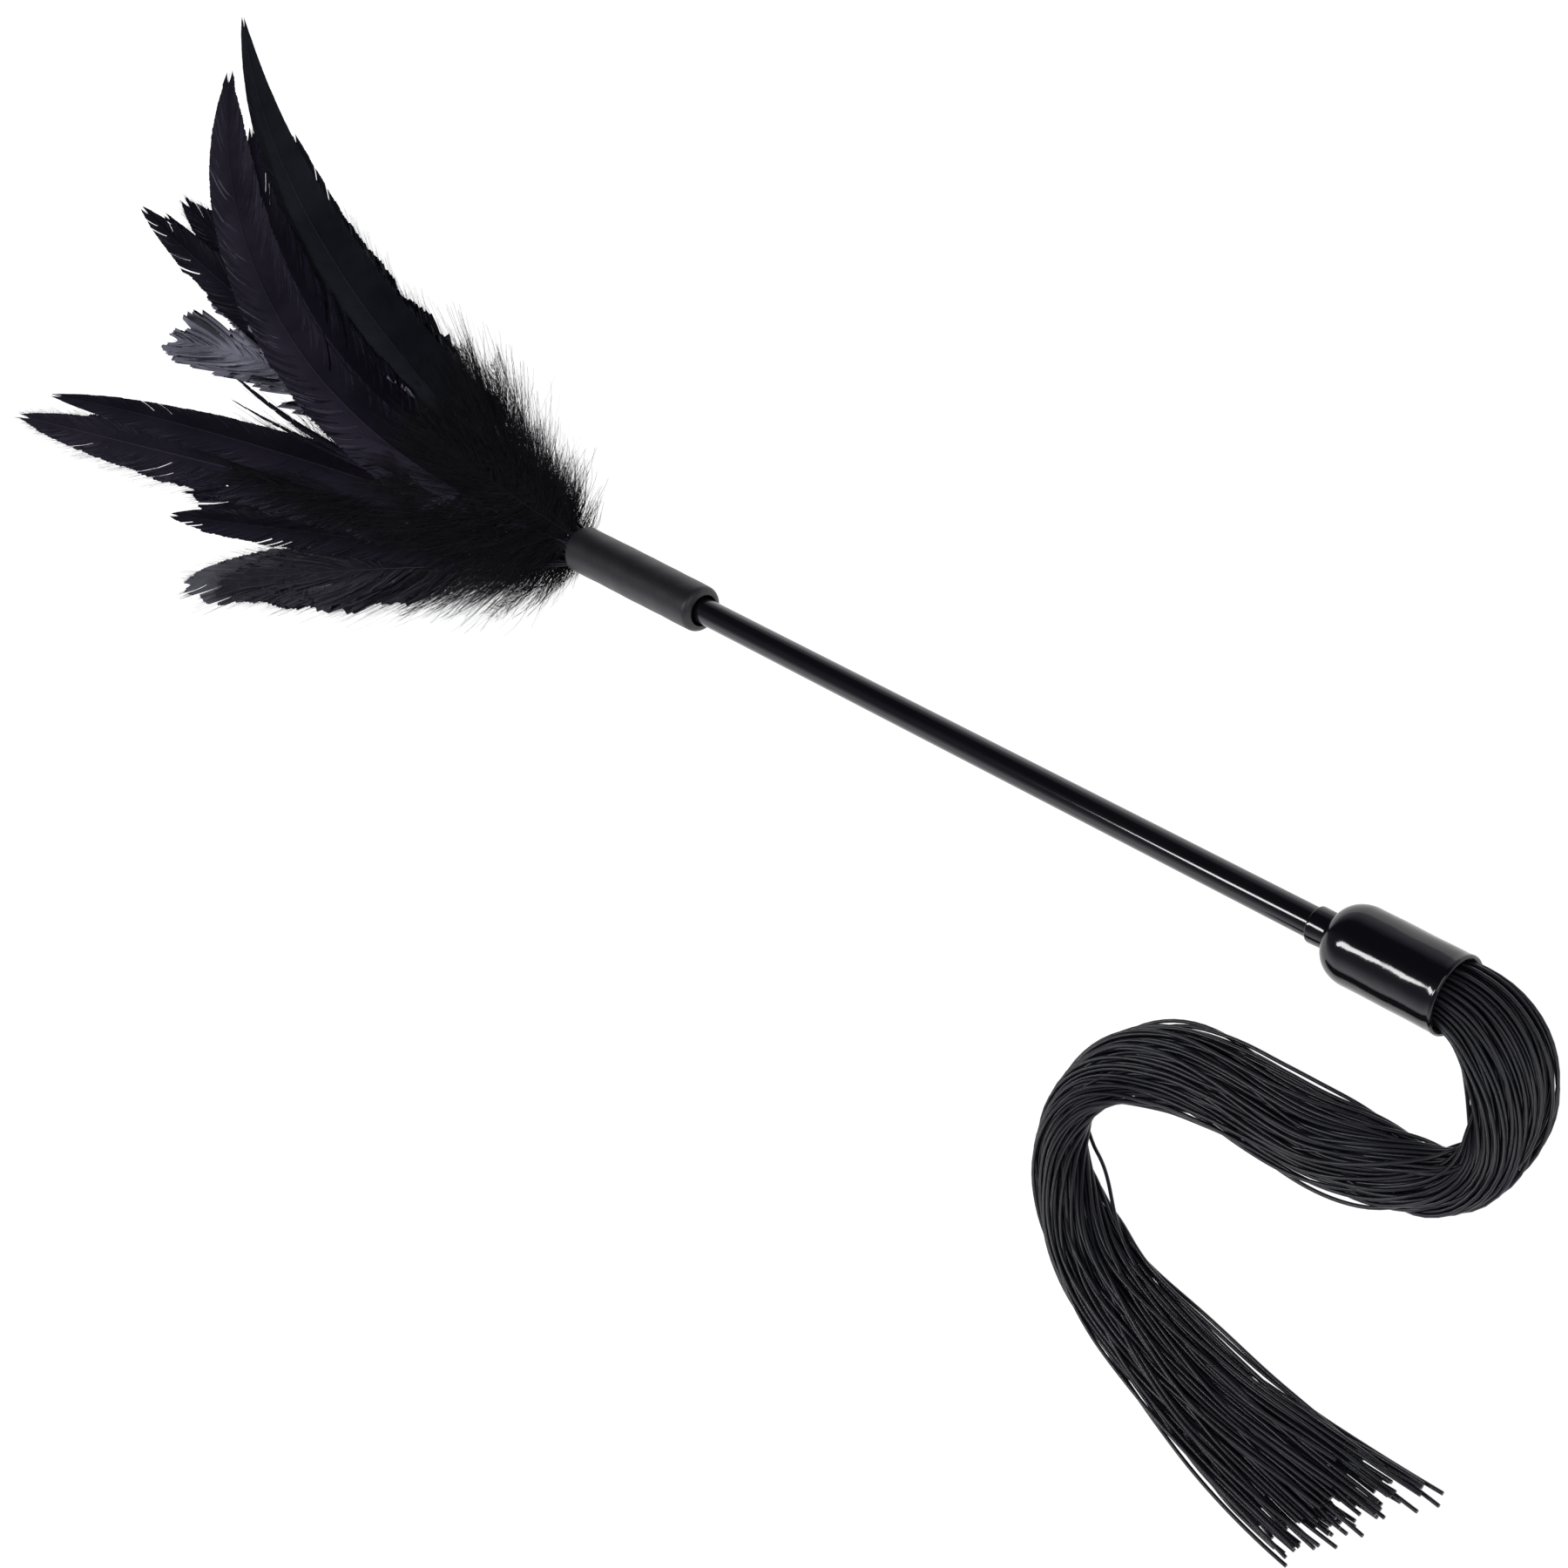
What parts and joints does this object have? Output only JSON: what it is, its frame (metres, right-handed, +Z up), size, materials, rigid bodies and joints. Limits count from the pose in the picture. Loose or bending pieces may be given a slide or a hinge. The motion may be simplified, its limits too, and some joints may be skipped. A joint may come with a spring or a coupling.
{
  "type": "feather duster",
  "caption": "Slim round-rod duster with a feather bouquet in a rubber sleeve at one end and a bell cap with a soft strand tassel at the other.",
  "frame": {"origin": "middle of the footprint of everything but the free strands, on the surface the wand lies on", "axes": "+X along the rod from the feathers to the cap's mouth, +Z up, the strands lie to the -Y side"},
  "size_m": [0.6723, 0.2495, 0.0552],
  "materials": {
    "rod_gloss": "gloss black",
    "cap_vinyl": "dipped vinyl, gloss black",
    "sleeve_rubber": "matte charcoal",
    "strand_rubber": "satin black",
    "plume": "dyed black feather, satin with a violet sheen",
    "down": "dyed black down, matte",
    "bush_plastic": "matte",
    "hot_glue": "cloudy hot-melt glue",
    "binding_thread": "waxed thread"
  },
  "bodies": {
    "root": {"rod": "rod_gloss", "tassel_cap": "cap_vinyl", "grip_sleeve": "sleeve_rubber", "rod_bush": "bush_plastic", "quill_glue_plug": "hot_glue", "quill_binding": "binding_thread", "strand_glue_plug": "hot_glue", "strand_binding": "binding_thread", "low_fringe_plume": "plume", "lowest_plume": "plume", "low_inner_plume": "plume", "rounded_plume": "plume", "left_fill_plume": "plume", "spike_plume": "plume", "inner_fill_plume": "plume", "long_left_plume": "plume", "forked_left_plume": "plume", "inner_edge_plume": "plume", "pale_plume": "plume", "curled_satin_plume": "plume", "paired_plume": "plume", "top_plume": "plume", "banded_plume": "plume", "down_under_tail": "down", "down_under_side": "down", "down_low_inner": "down", "down_middle": "down", "down_inner_edge": "down", "down_top_left": "down", "down_top": "down", "strand_lock_01": "strand_rubber", "strand_lock_02": "strand_rubber", "strand_lock_03": "strand_rubber", "strand_lock_04": "strand_rubber", "strand_lock_05": "strand_rubber", "strand_lock_06": "strand_rubber", "strand_lock_07": "strand_rubber", "strand_lock_08": "strand_rubber", "strand_lock_09": "strand_rubber", "strand_lock_10": "strand_rubber"}
  },
  "joints": []
}
